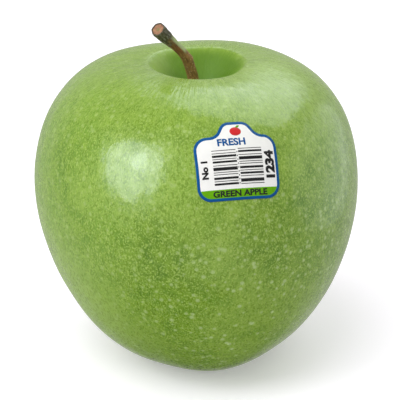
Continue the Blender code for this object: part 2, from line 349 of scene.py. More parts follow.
def wire(tree, shader, **sockets):
    """Links outputs to the shader's sockets; an underscore in a name stands for a space."""
    for name, value in sockets.items():
        tree.links.new(value, shader.inputs[name.replace("_", " ")])


def effect_group(name, inputs, outputs):
    """An empty node group with float inputs (name: value) after a Vector input."""
    group = bpy.data.node_groups.new(name, "ShaderNodeTree")
    group.interface.new_socket("Vector", in_out="INPUT", socket_type="NodeSocketVector")
    for label, value in inputs.items():
        socket = group.interface.new_socket(label, in_out="INPUT", socket_type="NodeSocketFloat")
        socket.default_value = value
    for label in outputs:
        group.interface.new_socket(label, in_out="OUTPUT", socket_type="NodeSocketFloat")
    into = group.nodes.new("NodeGroupInput")
    out_of = group.nodes.new("NodeGroupOutput")
    return group, into.outputs, out_of.inputs


def effect(tree, group, output, vector, **values):
    """Places a shared effect in a material and gives one of its outputs."""
    node = tree.nodes.new("ShaderNodeGroup")
    node.node_tree = group
    tree.links.new(vector, node.inputs["Vector"])
    for name, value in values.items():
        node.inputs[name].default_value = value
    return node.outputs[output]


# %% Shared effect: mottle
def contrasted(tree, value, contrast):
    """Spreads a value away from its middle, 0.5, and keeps it within 0 to 1."""
    spread_out = times(tree, maths(tree, "SUBTRACT", value, 0.5), contrast)
    raised = place(tree, "ShaderNodeMath", {0: spread_out, 1: 0.5}, operation="ADD", use_clamp=True)
    return raised.outputs[0]


mottle, entry, leave = effect_group(
    "mottle", {"Scale": 100.0, "Detail": 3.0, "Contrast": 1.0}, ["Value"]
)
sockets = {name: entry[name] for name in ("Vector", "Scale", "Detail")}
noise_value = place(mottle, "ShaderNodeTexNoise", sockets).outputs["Fac"]
mottle.links.new(contrasted(mottle, noise_value, entry["Contrast"]), leave["Value"])

# %% Shared effect: flecks
# Round dots in the cells of a Voronoi pattern. Every cell has its own dot size, and cells whose
# random number is over Share have none.
flecks, entry, leave = effect_group(
    "flecks", {"Scale": 300.0, "Size": 0.15, "Softness": 0.1, "Share": 0.6}, ["Mask"]
)
sockets = {name: entry[name] for name in ("Vector", "Scale")}
cells = place(flecks, "ShaderNodeTexVoronoi", sockets).outputs
luck = place(flecks, "ShaderNodeSeparateColor", {"Color": cells["Color"]}).outputs
dot_size = times(flecks, luck["Green"], entry["Size"])
past_rim = maths(flecks, "SUBTRACT", cells["Distance"], dot_size)
past_rim = maths(flecks, "DIVIDE", past_rim, entry["Softness"])
dot = place(flecks, "ShaderNodeMath", {0: 1.0, 1: past_rim}, operation="SUBTRACT", use_clamp=True)
chosen = maths(flecks, "LESS_THAN", luck["Red"], entry["Share"])
flecks.links.new(times(flecks, dot.outputs[0], chosen), leave["Mask"])

# %% Shared effect: streaks
# The same noise, drawn out along the third coordinate, which runs along the growth.
streaks, entry, leave = effect_group(
    "streaks", {"Scale": 600.0, "Stretch": 8.0, "Contrast": 2.0}, ["Value"]
)
parts = place(streaks, "ShaderNodeSeparateXYZ", {"Vector": entry["Vector"]}).outputs
drawn = maths(streaks, "DIVIDE", parts["Z"], entry["Stretch"])
sockets = {"X": parts["X"], "Y": parts["Y"], "Z": drawn}
along_growth = place(streaks, "ShaderNodeCombineXYZ", sockets).outputs["Vector"]
sockets = {"Vector": along_growth, "Scale": entry["Scale"], "Detail": 2.0}
noise_value = place(streaks, "ShaderNodeTexNoise", sockets).outputs["Fac"]
streaks.links.new(contrasted(streaks, noise_value, entry["Contrast"]), leave["Value"])
print("Shared effects:", [group.name for group in bpy.data.node_groups])

# %% [markdown]
# ## The skin
#
# A green apple's skin is a thin wax over green flesh. Wide patches and paler veils lie over each
# other, and a fine stipple of darker and lighter dots covers both. Lenticels, the breathing
# pores, are pale dots with a halo, and show most on the side that faced the weather. The lower
# left of the fruit carries a painted reflection: a paler tint in place of light thrown back from
# the white surroundings. The shoulder is paler, and fine pale lines run into the deeper green of
# the stem basin, whose left wall carries painted light: a pale tint that lifts its shade. The wax
# is a clear coat over a softer sheen, on a skin that swells very gently.

# %% Skin colours
DEEP_GREEN = (0.084, 0.188, 0.005, 1)
LEAF_GREEN = (0.114, 0.242, 0.008, 1)
YELLOW_GREEN = (0.172, 0.302, 0.012, 1)
PALE_GREEN = (0.310, 0.450, 0.080, 1)
SHADE_GREEN = (0.080, 0.165, 0.006, 1)
VEIL_GREEN = (0.270, 0.420, 0.060, 1)
CROWN_GREEN = (0.280, 0.420, 0.045, 1)
BASIN_GREEN = (0.090, 0.210, 0.010, 1)
PORE_PALE = (0.400, 0.530, 0.230, 1)
RUSSET = (0.180, 0.120, 0.040, 1)
WAX_BLOOM = (0.50, 0.80, 0.16, 1)
WEATHER_SIDE = (0.62, -0.35, -0.70)
# Painted reflection: towards this lower left side the skin is tinted paler, in place of reflected
# light.
PAINTED_REFLECTION_SIDE = (-0.75, -0.35, -0.56)
# Painted light: across these X positions the basin's left wall is tinted pale to lift its shade.
PAINTED_LIGHT_WALL_X = (-0.014, -0.001)


def towards(tree, where, direction):
    """How far a point lies in a direction, in metres."""
    node = place(
        tree, "ShaderNodeVectorMath", {0: where, 1: direction}, operation="DOT_PRODUCT"
    )
    return node.outputs["Value"]


print("Skin goes from", DEEP_GREEN[:3], "to", PALE_GREEN[:3])

# %% Ground colour of the skin
def skin_ground(tree, where, mottling, on_shoulder, outside):
    """Patches, veils, a painted reflection on the lower left side, and the paler crown."""
    wide = effect(tree, mottle, "Value", where, Scale=55.0, Detail=3.0, Contrast=3.2)
    veil = effect(tree, mottle, "Value", where, Scale=34.0, Detail=5.0, Contrast=3.4)
    # Painted reflection: a paler tint that grows towards the lower left side.
    painted_reflection = fade(tree, towards(tree, where, PAINTED_REFLECTION_SIDE), 0.003, 0.022, 0.0, 1.0)
    crown = times(tree, fade(tree, on_shoulder, 0.25, 0.95, 0.0, 0.4), outside)
    colour = tint(tree, wide, DEEP_GREEN, LEAF_GREEN)
    colour = tint(tree, times(tree, times(tree, mottling, 0.8), outside), colour, YELLOW_GREEN)
    colour = tint(tree, fade(tree, veil, 0.45, 1.0, 0.0, 0.5), colour, VEIL_GREEN)
    # The painted reflection, paler towards the lower left.
    colour = tint(tree, painted_reflection, colour, VEIL_GREEN)
    return tint(tree, crown, colour, CROWN_GREEN)


# %% Stipple, lines and the stem basin
def skin_stipple(tree, colour, grain, stipple, on_shoulder, outside):
    """Dark and light dots, which grow faint towards the crown."""
    fine = effect(tree, streaks, "Value", grain, Scale=2700.0, Stretch=1.3, Contrast=4.0)
    strength = times(tree, fade(tree, on_shoulder, 1.0, 0.6, 0.55, 1.0), outside)
    dark_dots = times(tree, fade(tree, stipple, 0.5, 0.0, 0.0, 0.42), strength)
    light_dots = times(tree, fade(tree, fine, 0.5, 1.0, 0.0, 0.78), strength)
    colour = tint(tree, dark_dots, colour, SHADE_GREEN)
    return tint(tree, light_dots, colour, PALE_GREEN)


def skin_basin(tree, colour, where, in_basin):
    """The basin's deeper green, and painted light on its left wall: a pale tint lifting its shade.
    """
    sideways = place(tree, "ShaderNodeSeparateXYZ", {"Vector": where}).outputs["X"]
    # Painted light: the deeper green is eased off the left wall, which gets a pale tint instead.
    off_painted_wall = fade(tree, sideways, *PAINTED_LIGHT_WALL_X, 0.1, 1.0)
    deepening = times(tree, fade(tree, in_basin, 0.0, 0.7, 0.0, 0.6), off_painted_wall)
    painted_light_share = fade(tree, off_painted_wall, 0.9, 0.1, 0.0, 0.8)
    painted_light_wall = times(tree, fade(tree, in_basin, 0.0, 0.25), painted_light_share)
    colour = tint(tree, deepening, colour, BASIN_GREEN)
    # The painted light on the basin's left wall.
    return tint(tree, painted_light_wall, colour, PALE_GREEN)


# %% Pores and russet
PORE_SCALE = 600.0
PORE_SHARE = 0.85


def skin_pores(tree, colour, where, in_basin, in_calyx, outside):
    """Pale pores with halos, and the brown russet at the stem's socket and at the eye."""
    dots = {"Scale": PORE_SCALE, "Share": PORE_SHARE}
    pores = effect(tree, flecks, "Mask", where, Size=0.22, Softness=0.18, **dots)
    halos = effect(tree, flecks, "Mask", where, Size=0.30, Softness=0.34, **dots)
    exposed = fade(tree, towards(tree, where, WEATHER_SIDE), -0.030, 0.016, 0.25, 0.9)
    exposed = times(tree, exposed, outside)
    colour = tint(tree, times(tree, halos, times(tree, outside, 0.3)), colour, PALE_GREEN)
    colour = tint(tree, times(tree, pores, exposed), colour, PORE_PALE)
    at_socket = fade(tree, in_basin, 0.88, 1.0, 0.0, 0.8)
    at_eye = fade(tree, in_calyx, 0.55, 1.0, 0.0, 0.75)
    return tint(tree, maths(tree, "MAXIMUM", at_socket, at_eye), colour, RUSSET)


# %% Relief of the skin
SWELL_HEIGHT = 0.20 * MM
STIPPLE_HEIGHT = 0.018 * MM
MOTTLING_RISE = 0.13
CREASE_RISE = 0.14


def bump(tree, height, distance, under=None):
    sockets = {"Height": height, "Distance": distance, "Strength": 1.0}
    if under is not None:
        sockets["Normal"] = under
    return place(tree, "ShaderNodeBump", sockets).outputs["Normal"]


def skin_relief(tree, where, mottling, stipple, creases):
    """The normal of the soft swell under the wax, and the same with the stipple on it."""
    swell = effect(tree, mottle, "Value", where, Scale=170.0, Detail=1.5, Contrast=1.0)
    swell = maths(tree, "ADD", times(tree, mottling, MOTTLING_RISE), swell)
    swell = maths(tree, "ADD", times(tree, creases, CREASE_RISE), swell)
    soft = bump(tree, swell, SWELL_HEIGHT)
    return soft, bump(tree, stipple, STIPPLE_HEIGHT, soft)


# %% Skin material
BASIN_EDGE = 0.15
COAT_ON_BELLY = 0.75
COAT_IN_BASIN = 0.15
STIPPLE_DULLNESS = 0.12
LEAST_ROUGHNESS = 0.23


def skin_material():
    material, tree, shader = new_material("waxy_skin")
    where = object_place(tree)
    grain = attribute(tree, "grain")
    zone = place(tree, "ShaderNodeSeparateXYZ", {"Vector": attribute(tree, "zone")}).outputs
    in_basin = zone["X"]
    on_shoulder = zone["Y"]
    in_calyx = zone["Z"]
    mottling = effect(tree, mottle, "Value", grain, Scale=300.0, Detail=5.0, Contrast=4.4)
    stipple = effect(tree, streaks, "Value", grain, Scale=1500.0, Stretch=1.5, Contrast=4.0)
    lines = effect(tree, streaks, "Value", grain, Scale=800.0, Stretch=9.0, Contrast=4.0)
    outside = fade(tree, in_basin, 0.25, 0.0, 0.1, 1.0)
    on_lip = times(tree, fade(tree, on_shoulder, 0.35, 1.0), outside)

    colour = skin_ground(tree, where, mottling, on_shoulder, outside)
    colour = skin_stipple(tree, colour, grain, stipple, on_shoulder, outside)
    pale_lines = times(tree, fade(tree, lines, 0.5, 1.0, 0.0, 0.35), on_lip)
    colour = tint(tree, pale_lines, colour, PALE_GREEN)
    colour = skin_basin(tree, colour, where, in_basin)
    colour = skin_pores(tree, colour, where, in_basin, in_calyx, outside)

    dull_basin = fade(tree, in_basin, 0.0, BASIN_EDGE, 0.0, 0.15)
    dull_stipple = maths(tree, "ADD", times(tree, stipple, STIPPLE_DULLNESS), LEAST_ROUGHNESS)
    roughness = maths(tree, "ADD", dull_stipple, dull_basin)
    coat = fade(tree, in_basin, 0.0, BASIN_EDGE, COAT_ON_BELLY, COAT_IN_BASIN)
    coat = times(tree, coat, fade(tree, mottling, 0.1, 0.9, 0.85, 1.15))
    soft, full = skin_relief(tree, where, mottling, stipple, times(tree, lines, on_lip))
    wire(tree, shader, Base_Color=colour, Roughness=roughness, Normal=full)
    wire(tree, shader, Coat_Weight=coat, Coat_Normal=soft)
    shader.inputs["Specular IOR Level"].default_value = 0.25
    shader.inputs["Coat Roughness"].default_value = 0.14
    shader.inputs["Sheen Weight"].default_value = 0.24
    shader.inputs["Sheen Roughness"].default_value = 0.5
    shader.inputs["Sheen Tint"].default_value = WAX_BLOOM
    return material


skin = skin_material()
print("Skin material has", len(skin.node_tree.nodes), "nodes")


# %% [markdown]
# ## Finishing a piece
#
# Every piece ends the same way: its mesh is set down where the CAD has it, its shading is made
# smooth, it takes its materials, it rides on the frame's body, and the CAD solid it stands for is
# hidden.

# %% Finish a piece
def finish_piece(form, name, materials, solids):
    """Makes a piece of a bmesh, with its materials, on the root body; its CAD solids are hidden."""
    mesh = mesh_from(form, name)
    for material in materials:
        mesh.materials.append(material)
    mesh.shade_smooth()
    piece = add_object(name, mesh)
    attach(piece, "root")
    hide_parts(*solids)
    triangles = sum(len(face.vertices) - 2 for face in mesh.polygons)
    print(f"{name}: {triangles} triangles")
    return piece


# %% [markdown]
# ## The fruit
#
# The outline is half of a cut through the apple: down from the stem socket, up the basin, over
# the crown, round the belly, and in again to the calyx tube. Bezier stretches join a few
# stations, and bmesh.ops.spin turns the line full circle. Two vertex attributes are stored on
# the way for the skin: grain, which measures along the growth lines and round the fruit, and
# zone, which says how far a point is into the stem basin, up the shoulder, or into the calyx
# basin. Fine noise swells the turned shape a little, as on any fruit that grew.

# %% Outline of the fruit
STRETCHES = (
    # start, handle from the start, handle from the end, end, number of points
    (
        (SOCKET_RADIUS, BASIN_FLOOR), (0, 0.12 * STEM_BASIN_DEPTH),
        (-0.20 * (CROWN_RADIUS - SOCKET_RADIUS), 0), (CROWN_RADIUS, CROWN_HEIGHT), 34,
    ),
    (
        (CROWN_RADIUS, CROWN_HEIGHT), (0.78 * (BELLY_RADIUS - CROWN_RADIUS), 0),
        (0, 0.48 * (CROWN_HEIGHT - BELLY_HEIGHT)), (BELLY_RADIUS, BELLY_HEIGHT), 54,
    ),
    (
        (BELLY_RADIUS, BELLY_HEIGHT), (0, -0.42 * BELLY_HEIGHT),
        (0.57 * (BELLY_RADIUS - BASE_RADIUS), 0), (BASE_RADIUS, -RESTING_PRESS), 64,
    ),
    (
        (BASE_RADIUS, -RESTING_PRESS), (-0.42 * (BASE_RADIUS - EYE_RADIUS), 0),
        (0, -0.50 * EYE_DEPTH), (EYE_RADIUS, EYE_DEPTH), 22,
    ),
)


def upright(pair):
    return Vector((pair[0], 0, pair[1]))


def fruit_outline():
    """Outline points with their zone: into the stem basin, up the shoulder, into the calyx."""
    points = [(upright((0, BASIN_FLOOR - STEM_SOCKET_DEPTH)), (1, 0, 0))]
    points.append((upright((SOCKET_RADIUS, BASIN_FLOOR - STEM_SOCKET_DEPTH)), (1, 0, 0)))
    for number, (start, out_handle, in_handle, end, count) in enumerate(STRETCHES):
        first = upright(start)
        last = upright(end)
        run = interpolate_bezier(
            first, first + upright(out_handle), last + upright(in_handle), last, count
        )
        for step, point in enumerate(run if number == 0 else run[1:]):
            share = step / (count - 1)
            zone = (
                (1 - share, 1, 0),
                (0, 1 - share, 0),
                (0, 0, 0),
                (0, 0, share),
            )[number]
            points.append((point, zone))
    points.append((upright((CALYX_TUBE_RADIUS, EYE_DEPTH)), (0, 0, 1)))
    points.append((upright((CALYX_TUBE_RADIUS, EYE_DEPTH + CALYX_TUBE_DEPTH)), (0, 0, 1)))
    points.append((upright((0, EYE_DEPTH + CALYX_TUBE_DEPTH)), (0, 0, 1)))
    return points


print("Outline has", len(fruit_outline()), "points")

# %% Turn and grow the fruit
TURNING_STEPS = 256
MERGE_DISTANCE = 0.001 * MM
DENT_DEPTH = 0.10 * MM
DENT_WIDTH = 9.0 * MM
DENT_START = 2 * MM
DENT_RISE = 6 * MM


def dented(place_now, normal):
    """Moves a point in or out by a very shallow swell; the foot of the fruit stays."""
    if place_now.z < DENT_START:
        return place_now
    depth = noise.noise(place_now / DENT_WIDTH) * DENT_DEPTH
    return place_now + normal * depth * smooth_step((place_now.z - DENT_START) / DENT_RISE)


def turned_fruit():
    form = bmesh.new()
    zone_layer = form.verts.layers.float_vector.new("zone")
    length_layer = form.verts.layers.float.new("outline_length")
    before = None
    length = 0.0
    for point, zone in fruit_outline():
        vertex = form.verts.new(point)
        vertex[zone_layer] = zone
        if before is not None:
            form.edges.new((before, vertex))
            length += (point - before.co).length
        vertex[length_layer] = length
        before = vertex
    bmesh.ops.spin(
        form,
        geom=form.verts[:] + form.edges[:],
        cent=(0, 0, 0),
        axis=(0, 0, 1),
        angle=math.tau,
        steps=TURNING_STEPS,
        use_merge=True,
    )
    bmesh.ops.remove_doubles(form, verts=form.verts, dist=MERGE_DISTANCE)
    bmesh.ops.recalc_face_normals(form, faces=form.faces)
    grain_layer = form.verts.layers.float_vector.new("grain")
    for vertex in form.verts:
        azimuth = math.atan2(vertex.co.y, vertex.co.x)
        near_base = smooth_step(1 - vertex.co.z / BELLY_HEIGHT)
        own_radius = math.hypot(vertex.co.x, vertex.co.y)
        grain_radius = BELLY_RADIUS + near_base * (own_radius - BELLY_RADIUS)
        vertex[grain_layer] = around(azimuth, grain_radius, vertex[length_layer])
        vertex.co = grow(vertex.co)
    form.normal_update()
    for vertex in form.verts:
        vertex.co = dented(vertex.co, vertex.normal)
    return form


fruit_form = turned_fruit()
corners = [
    [pick(vertex.co[axis] for vertex in fruit_form.verts) for pick in (min, max)]
    for axis in range(3)
]
MIDDLE = Vector((sum(corners[0]) / 2, sum(corners[1]) / 2, 0))
SKIN_TREE = BVHTree.FromBMesh(fruit_form)
print("Fruit measures", [round((high - low) / MM, 1) for low, high in corners], "mm")


# %% Set the fruit down
def set_down(form):
    """Moves a piece so that the middle of the fruit's box stands over the origin."""
    bmesh.ops.translate(form, verts=form.verts, vec=-MIDDLE)
    return form


fruit = finish_piece(set_down(fruit_form), "apple_fruit", [skin], ["fruit"])
fruit.data.set_sharp_from_angle(angle=turn(50))

# %% [markdown]
# ## The stem
#
# A picked stem is a small woody twig. It stands upright in its basin, bends over, grows thinner,
# and flares where it was joined to the branch. Its end was broken and cut, so wood shows there
# inside a ring of bark. The twig is made by extruding a ring of edges along its line: at every
# station the new ring is moved, turned and scaled. The wood's end is a few more rings that step
# inwards.

# %% Line of the stem
STEM_FLOOR = grow(Vector((0, 0, BASIN_FLOOR)))
STEM_LINE = (
    # place measured from the basin's floor in millimetres, and radius
    ((0.0, 0.0, -2.7), 1.25),
    ((0.0, 0.0, 0.0), 1.27),
    ((-0.30, 0.0, 5.0), 1.32),
    ((-1.15, 0.0, 10.0), 1.36),
    ((-1.95, -0.35, 13.2), 1.32),
    ((-2.85, -0.95, 15.6), 1.28),
    ((-4.10, -1.95, 17.6), 1.17),
    ((-5.45, -3.25, 19.4), 1.20),
    ((-6.65, -4.60, 21.0), 1.38),
    ((-7.95, -6.10, 22.7), 1.64),
    ((-9.05, -7.50, 24.3), 1.78),
    ((-9.45, -8.00, 24.9), 1.74),
)
STEM_SIDES = 40
RINGS_PER_STRETCH = 6


def smooth_line(stations, steps):
    """Catmull-Rom points and radii through the stations."""
    knots = [(Vector(place_mm) * MM, radius * MM) for place_mm, radius in stations]
    line = []
    for index in range(len(knots) - 1):
        before = knots[max(index - 1, 0)]
        start = knots[index]
        end = knots[index + 1]
        after = knots[min(index + 2, len(knots) - 1)]
        run = interpolate_bezier(
            start[0],
            start[0] + (end[0] - before[0]) / 6,
            end[0] - (after[0] - start[0]) / 6,
            end[0],
            steps + 1,
        )
        for step in range(steps):
            share = step / steps
            line.append((run[step], start[1] + (end[1] - start[1]) * smooth_step(share)))
    line.append(knots[-1])
    return line


stem_line = smooth_line(STEM_LINE, RINGS_PER_STRETCH)
print("Stem line has", len(stem_line), "rings")

# %% Bark material
BARK_BROWN = (0.360, 0.195, 0.050, 1)
BARK_DARK = (0.170, 0.092, 0.025, 1)
BARK_PALE = (0.620, 0.420, 0.200, 1)
BARK_RED = (0.260, 0.085, 0.020, 1)
HEAD_DARK = (0.042, 0.044, 0.020, 1)
HEAD_GREY = (0.190, 0.200, 0.150, 1)
SIDE_GREEN = (0.380, 0.450, 0.200, 1)


def dull_surface(tree, shader, colour, cloud, dullness, height, relief):
    """Gives a shader its colour, a roughness that follows a cloud, and a fine relief."""
    roughness = fade(tree, cloud, 0.0, 1.0, *dullness)
    wire(tree, shader, Base_Color=colour, Roughness=roughness, Normal=bump(tree, height, relief))


def bark_material():
    material, tree, shader = new_material("twig_bark")
    grain = attribute(tree, "grain")
    zone = place(tree, "ShaderNodeSeparateXYZ", {"Vector": attribute(tree, "zone")}).outputs
    along = zone["X"]
    fibres = effect(tree, streaks, "Value", grain, Scale=3400.0, Stretch=4.0, Contrast=3.0)
    patches = effect(tree, mottle, "Value", grain, Scale=700.0, Detail=3.0, Contrast=3.0)
    specks = effect(tree, flecks, "Mask", grain, Scale=2600.0, Size=0.3, Softness=0.2, Share=0.5)
    colour = tint(tree, fibres, BARK_DARK, BARK_BROWN)
    low_down = fade(tree, along, 0.62, 0.40, 0.0, 0.75)
    colour = tint(tree, times(tree, specks, low_down), colour, BARK_PALE)
    waist = times(tree, fade(tree, along, 0.52, 0.62), fade(tree, along, 0.80, 0.70))
    reddish = times(tree, waist, fade(tree, patches, 0.2, 0.8, 0.2, 0.9))
    colour = tint(tree, reddish, colour, BARK_RED)
    ragged = maths(tree, "ADD", along, times(tree, patches, 0.16))
    mossy_patches = fade(tree, patches, 0.2, 0.8, 0.35, 1.0)
    moss = times(tree, fade(tree, fibres, 0.3, 1.0), mossy_patches)
    head_colour = tint(tree, moss, HEAD_DARK, HEAD_GREY)
    colour = tint(tree, fade(tree, ragged, 0.70, 0.92, 0.0, 0.92), colour, head_colour)
    colour = tint(tree, zone["Y"], colour, SIDE_GREEN)
    dull_surface(tree, shader, colour, patches, (0.55, 0.8), fibres, 0.05 * MM)
    return material


bark = bark_material()
print("Bark has", len(bark.node_tree.nodes), "nodes")

# %% Cut wood material
WOOD_TAN = (0.400, 0.215, 0.115, 1)
WOOD_RED = (0.200, 0.070, 0.030, 1)
PITH = (0.200, 0.180, 0.060, 1)
WOOD_RIM = (0.060, 0.040, 0.020, 1)


def wood_material():
    material, tree, shader = new_material("cut_wood")
    grain = attribute(tree, "grain")
    zone = place(tree, "ShaderNodeSeparateXYZ", {"Vector": attribute(tree, "zone")}).outputs
    from_pith = zone["Z"]
    patches = effect(tree, mottle, "Value", grain, Scale=1500.0, Detail=3.0, Contrast=3.0)
    fibres = effect(tree, streaks, "Value", grain, Scale=3500.0, Stretch=2.0, Contrast=3.0)
    colour = tint(tree, patches, WOOD_RED, WOOD_TAN)
    colour = tint(tree, times(tree, fibres, 0.35), colour, WOOD_TAN)
    colour = tint(tree, fade(tree, from_pith, 0.46, 0.16, 0.0, 0.85), colour, PITH)
    colour = tint(tree, fade(tree, from_pith, 0.86, 1.0), colour, WOOD_RIM)
    dull_surface(tree, shader, colour, patches, (0.7, 0.9), patches, 0.06 * MM)
    return material


cut_wood = wood_material()
print("Stem materials:", bark.name, "and", cut_wood.name)

# %% Rings of the twig
KNUCKLE_SHARE = 0.43
KNUCKLE_SIDE = turn(5)
KNUCKLE_HEIGHT = 0.26 * MM
GREEN_SIDE = turn(-8)
FLUTE_COUNT = 7
FLUTE_DEPTH = 0.030
LUMP_DEPTH = 0.035
LUMP_LENGTH = 1.4 * MM
LUMP_FINENESS = 1.6
GRAIN_RADIUS = 1.25 * MM
CUT_RINGS = (
    # scale, height above the cut in millimetres
    (0.975, 0.10),
    (0.92, 0.13),
    (0.87, 0.05),
    (0.845, -0.10),
    (0.70, -0.07),
    (0.45, -0.11),
    (0.22, -0.14),
    (0.12, -0.24),
)
WOOD_EDGE = 0.86


def ring_frame(line, index):
    """The place and turn of a ring whose X axis stays as near to the world's X as it can."""
    before = line[max(index - 1, 0)][0]
    after = line[min(index + 1, len(line) - 1)][0]
    forward = (after - before).normalized()
    side = Vector((0, 1, 0)).cross(forward).normalized()
    return set_at(STEM_FLOOR + line[index][0], side, forward.cross(side), forward)


def bark_radius(azimuth, share, length):
    """A share for flutes and lumps, and what the knuckle adds where the twig bends."""
    fluted = FLUTE_DEPTH * smooth_step((share - 0.5) / 0.4)
    flutes = fluted * math.cos(FLUTE_COUNT * azimuth + 1.3)
    spot = around(azimuth, height=length / LUMP_LENGTH)
    lumps = LUMP_DEPTH * noise.noise(spot * LUMP_FINENESS)
    off_side = math.atan2(math.sin(azimuth - KNUCKLE_SIDE), math.cos(azimuth - KNUCKLE_SIDE))
    knuckle = math.exp(-((off_side / 0.7) ** 2) - ((share - KNUCKLE_SHARE) / 0.022) ** 2)
    return 1 + flutes + lumps, knuckle * KNUCKLE_HEIGHT


def green_stripe(azimuth, share):
    across = smooth_step((math.cos(azimuth - GREEN_SIDE) - 0.55) / 0.26)
    return across * smooth_step((share - 0.50) / 0.06) * smooth_step((0.82 - share) / 0.10)


def extruded_ring(form, edges):
    """Extrudes a ring of edges where it stands and gives the new ring's points and edges."""
    made = bmesh.ops.extrude_edge_only(form, edges=edges)["geom"]
    points = {item for item in made if isinstance(item, bmesh.types.BMVert)}
    lines = [item for item in made if isinstance(item, bmesh.types.BMEdge)]
    return points, [line for line in lines if all(point in points for point in line.verts)]


def shape_ring(form, points, index, length, scale=1.0, sink=0.0):
    """Moves a ring to its station on the stem's line, and stores what the bark reads."""
    side_layer = form.verts.layers.float["side"]
    zone_layer = form.verts.layers.float_vector["zone"]
    grain_layer = form.verts.layers.float_vector["grain"]
    share = index / (len(stem_line) - 1)
    seat = ring_frame(stem_line, index)
    for point in points:
        azimuth = point[side_layer]
        swell, knuckle = bark_radius(azimuth, share, length)
        radius = (stem_line[index][1] * swell + knuckle) * scale
        point.co = seat @ around(azimuth, radius, sink)
        point[zone_layer] = (share, green_stripe(azimuth, share), scale / WOOD_EDGE)
        point[grain_layer] = around(azimuth, GRAIN_RADIUS * scale, length + sink)


# %% Build the stem
def twig():
    form = bmesh.new()
    side_layer = form.verts.layers.float.new("side")
    form.verts.layers.float_vector.new("zone")
    form.verts.layers.float_vector.new("grain")
    bmesh.ops.create_circle(form, cap_ends=False, segments=STEM_SIDES, radius=1.0)
    for point in form.verts:
        point[side_layer] = math.atan2(point.co.y, point.co.x)
    edges = form.edges[:]
    shape_ring(form, form.verts[:], 0, 0.0)
    bmesh.ops.edgeloop_fill(form, edges=edges)
    length = 0.0
    for index in range(1, len(stem_line)):
        length += (stem_line[index][0] - stem_line[index - 1][0]).length
        points, edges = extruded_ring(form, edges)
        shape_ring(form, points, index, length)
    bark_faces = set(form.faces)
    for scale, rise in CUT_RINGS:
        points, edges = extruded_ring(form, edges)
        shape_ring(form, points, len(stem_line) - 1, length, scale, rise * MM)
        if scale > WOOD_EDGE:
            bark_faces = set(form.faces)
    bmesh.ops.edgeloop_fill(form, edges=edges)
    for face in form.faces:
        face.material_index = 0 if face in bark_faces else 1
    bmesh.ops.recalc_face_normals(form, faces=form.faces)
    return form


stem = finish_piece(set_down(twig()), "woody_stem", [bark, cut_wood], ["stem"])

# %% [markdown]
# ## The label
#
# Packed fruit carries a small label of printed plastic film. It is cut with a die: a rectangle
# with round corners and a tab on its upper edge. One face made from eight corners becomes that
# shape when its corners are bevelled. An inset gives the blue border, and a cut gives the green
# band. The film is then sliced finely, so that it can bend, and every point is dropped onto the
# skin. The print is generic: plain words, a plain number and bars that hold no code.

# %% Label plan
LABEL_WIDTH = 19.5
LABEL_HEIGHT = 14.9
LABEL_CORNER = 3.2
TAB_HEIGHT = 3.35
TAB_TOP_WIDTH = 5.6
TAB_FOOT_WIDTH = 9.9
TAB_MIDDLE = 0.55
TAB_CORNER = 1.3
BORDER_WIDTH = 0.66
LABEL_SHIFT = Vector((0.20, 0.62, 0))
LABEL_TURN = turn(-1.4)
BAND_TOP = -4.85
LABEL_AZIMUTH = turn(-76.5)
LABEL_MIDDLE_HEIGHT = 62.7 * MM
FILM_GAP = 0.03 * MM
FILM_THICKNESS = 0.08 * MM
PRINT_GAP = FILM_GAP + FILM_THICKNESS + 0.01 * MM
INK_THICKNESS = 0.012 * MM
DROP_HEIGHT = 12 * MM
SLICE = 0.8


def label_frame():
    """Where the label's middle touches the skin, with its Z axis along the skin's normal."""
    outward = around(LABEL_AZIMUTH)
    start = outward * 2 * BELLY_RADIUS + Vector((0, 0, LABEL_MIDDLE_HEIGHT))
    touch, normal, _, _ = SKIN_TREE.ray_cast(start, -outward)
    across = Vector((0, 0, 1)).cross(normal).normalized()
    return set_at(touch, across, normal.cross(across), normal)


LABEL_FRAME = label_frame()
print("Label touches the skin at", [round(c / MM, 1) for c in LABEL_FRAME.translation], "mm")


def cut_across(form, faces, spot, normal):
    """Cuts a line through some faces of a flat shape."""
    geometry = form.verts[:] + form.edges[:] + faces
    bmesh.ops.bisect_plane(form, geom=geometry, plane_co=spot, plane_no=normal)


def slice_flat(form):
    """Cuts a flat shape, drawn in millimetres, into small fields that can bend."""
    for normal in (Vector((1, 0, 0)), Vector((0, 1, 0))):
        reaches = [vertex.co.dot(normal) for vertex in form.verts]
        for cut in range(math.ceil(min(reaches) / SLICE), math.ceil(max(reaches) / SLICE)):
            cut_across(form, form.faces[:], normal * cut * SLICE, normal)


def lay_on_skin(form, gap):
    """Drops a flat shape, drawn in millimetres on the label's plan, onto the skin."""
    down = -LABEL_FRAME.col[2].to_3d()
    slant = Matrix.Rotation(LABEL_TURN, 3, "Z")
    for vertex in form.verts:
        on_plan = slant @ vertex.co + LABEL_SHIFT
        start = LABEL_FRAME @ (on_plan * MM + Vector((0, 0, DROP_HEIGHT)))
        touch, _, _, _ = SKIN_TREE.ray_cast(start, down)
        _, normal, _, _ = SKIN_TREE.find_nearest(touch)
        vertex.co = touch + normal * gap


def thicken(piece, thickness):
    solidify = piece.modifiers.new("thickness", "SOLIDIFY")
    solidify.thickness = thickness
    solidify.offset = 1.0


# %% Label materials
def film_material(name, colour, darker):
    """Printed plastic film: an even ink, a faint cloudiness and the slightest waves."""
    material, tree, shader = new_material(name)
    where = object_place(tree)
    cloud = effect(tree, mottle, "Value", where, Scale=420.0, Detail=3.0, Contrast=2.0)
    waves = effect(tree, mottle, "Value", where, Scale=230.0, Detail=1.0, Contrast=1.0)
    base = tint(tree, cloud, colour, darker)
    dull_surface(tree, shader, base, cloud, (0.30, 0.42), waves, 0.05 * MM)
    shader.inputs["Specular IOR Level"].default_value = 0.15
    return material


